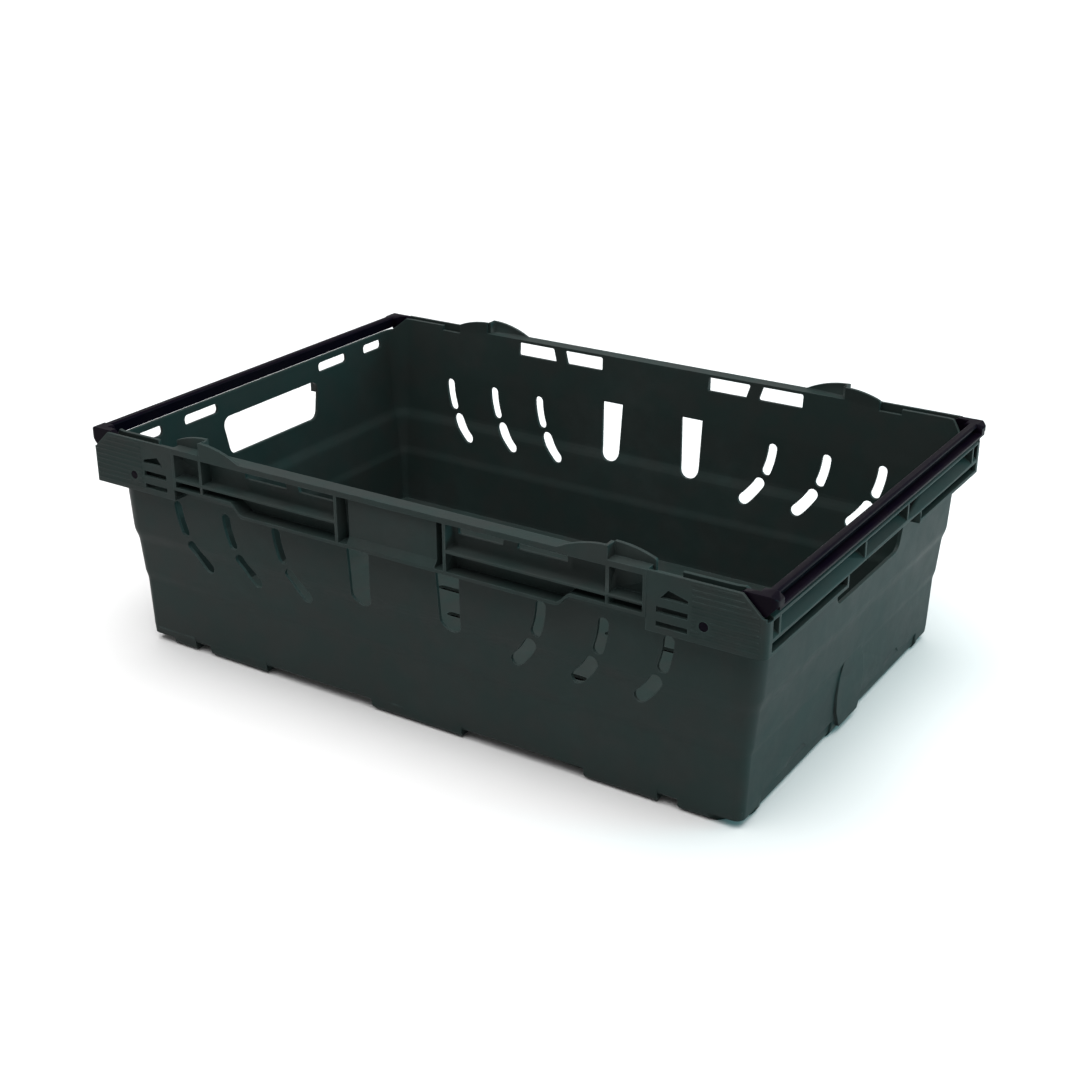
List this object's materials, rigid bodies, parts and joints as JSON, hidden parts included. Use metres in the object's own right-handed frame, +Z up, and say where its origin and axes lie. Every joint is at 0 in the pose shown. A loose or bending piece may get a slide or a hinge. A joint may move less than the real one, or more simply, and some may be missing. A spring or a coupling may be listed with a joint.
{
  "type": "ventilated bale-arm stack and nest crate",
  "caption": "Open-topped ventilated plastic crate with swinging end bars, so it nests with the bars out and stacks with them in.",
  "frame": {"origin": "middle of the footprint, on the surface the crate stands on", "axes": "+X along the length towards the right end, +Y across the width towards the rear long side, +Z up"},
  "size_m": [0.596, 0.4, 0.199],
  "materials": {
    "body_plastic": "dark green-grey moulded polypropylene, satin, lightly grained",
    "arm_plastic": "near-black moulded plastic, smooth satin"
  },
  "bodies": {
    "crate": {"floor_panel": "body_plastic", "centre_foot": "body_plastic", "left_mid_foot": "body_plastic", "right_mid_foot": "body_plastic", "left_end_foot": "body_plastic", "right_end_foot": "body_plastic", "front_wall": "body_plastic", "front_left_wall": "body_plastic", "front_right_wall": "body_plastic", "front_band": "body_plastic", "front_left_grip_band": "body_plastic", "front_right_grip_band": "body_plastic", "front_left_lug_band": "body_plastic", "front_right_lug_band": "body_plastic", "rear_wall": "body_plastic", "rear_left_wall": "body_plastic", "rear_right_wall": "body_plastic", "rear_band": "body_plastic", "rear_left_grip_band": "body_plastic", "rear_right_grip_band": "body_plastic", "rear_left_lug_band": "body_plastic", "rear_right_lug_band": "body_plastic", "left_end_wall": "body_plastic", "right_end_wall": "body_plastic", "front_left_corner": "body_plastic", "front_right_corner": "body_plastic", "rear_left_corner": "body_plastic", "rear_right_corner": "body_plastic", "front_rim": "body_plastic", "rear_rim": "body_plastic", "left_end_rim": "body_plastic", "right_end_rim": "body_plastic", "front_left_pivot_panel": "body_plastic", "front_right_pivot_panel": "body_plastic", "rear_left_pivot_panel": "body_plastic", "rear_right_pivot_panel": "body_plastic"},
    "left_arm": {"left_bale_arm": "arm_plastic"},
    "right_arm": {"right_bale_arm": "arm_plastic"}
  },
  "joints": [
    {"name": "left_arm_swing", "type": "hinge", "parent": "crate", "child": "left_arm", "pos_m": [-0.25, 0, 0.159], "axis": [0, 1, 0], "range_deg": [0, 103]},
    {"name": "right_arm_swing", "type": "hinge", "parent": "crate", "child": "right_arm", "pos_m": [0.25, 0, 0.159], "axis": [0, -1, 0], "range_deg": [0, 103]}
  ]
}
